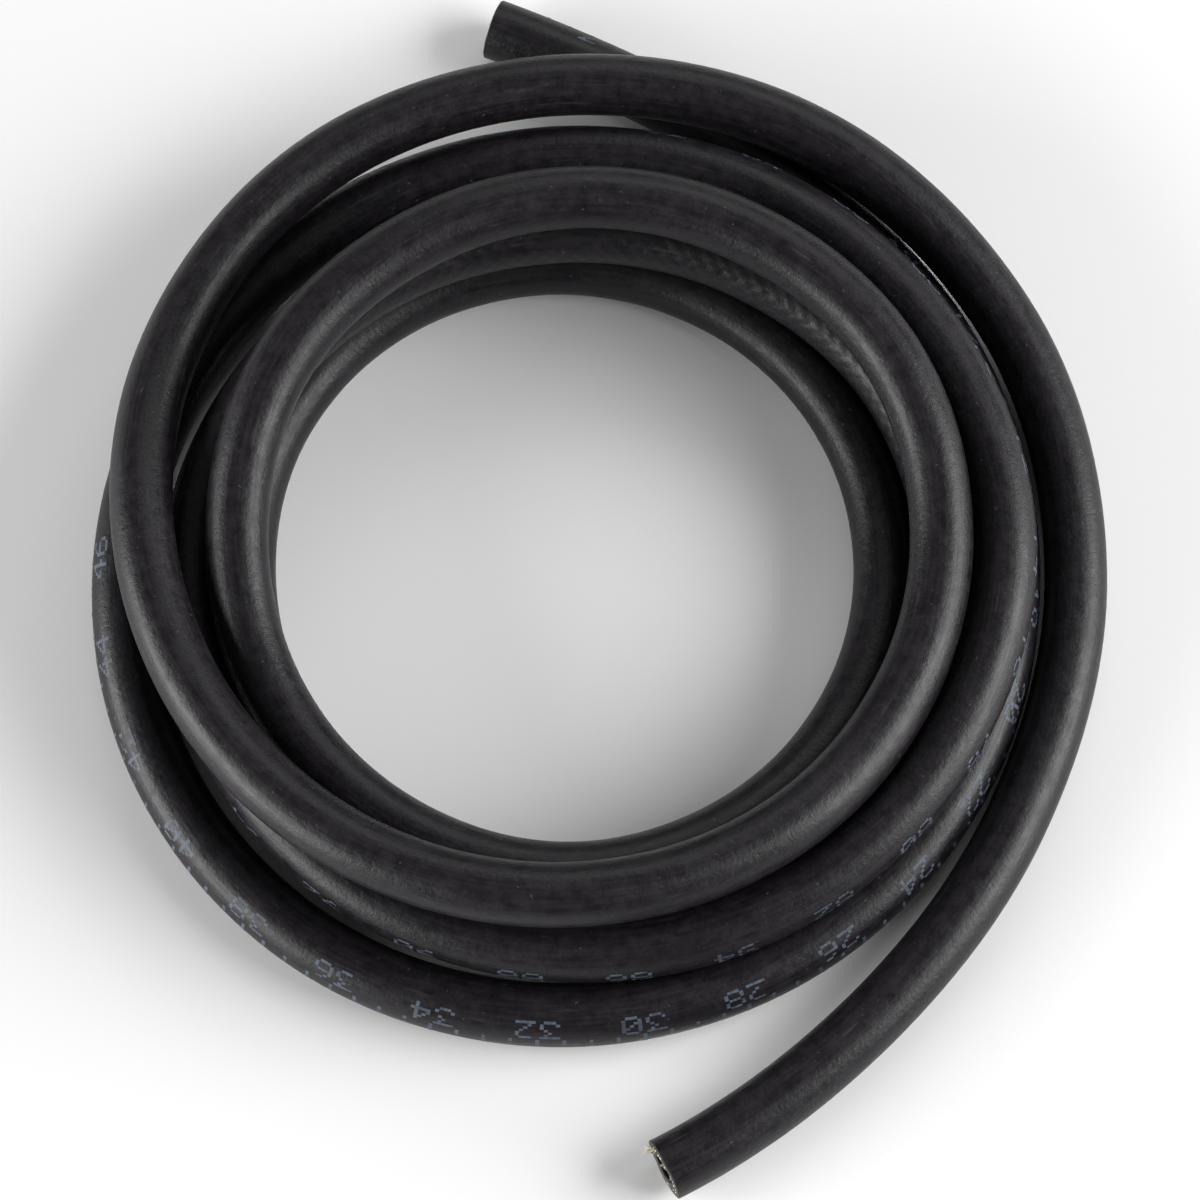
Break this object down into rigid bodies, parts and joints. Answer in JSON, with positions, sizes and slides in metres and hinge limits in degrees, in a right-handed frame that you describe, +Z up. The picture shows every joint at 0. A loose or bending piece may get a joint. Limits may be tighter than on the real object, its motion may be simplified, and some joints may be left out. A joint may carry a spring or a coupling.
{
  "type": "fuel hose",
  "caption": "Length of reinforced black rubber fuel hose with a round bore, cut square at both ends and lying in a loose flat coil.",
  "frame": {"origin": "on the floor, under the middle of the coil's footprint", "axes": "+Z up, out of the floor that the coil lies on; +Y along the footprint's longer side, towards the end that lies under the other turns; +X to the right of that"},
  "size_m": [0.205, 0.256, 0.039],
  "materials": {
    "black_rubber": "satin, faintly mottled, with fine marks along its length",
    "grey_ink": "thin matt ink, partly worn",
    "reinforcement_yarn": "matt twisted yarn, frayed where the hose is cut"
  },
  "bodies": {
    "root": {"hose": "black_rubber"}
  },
  "joints": []
}
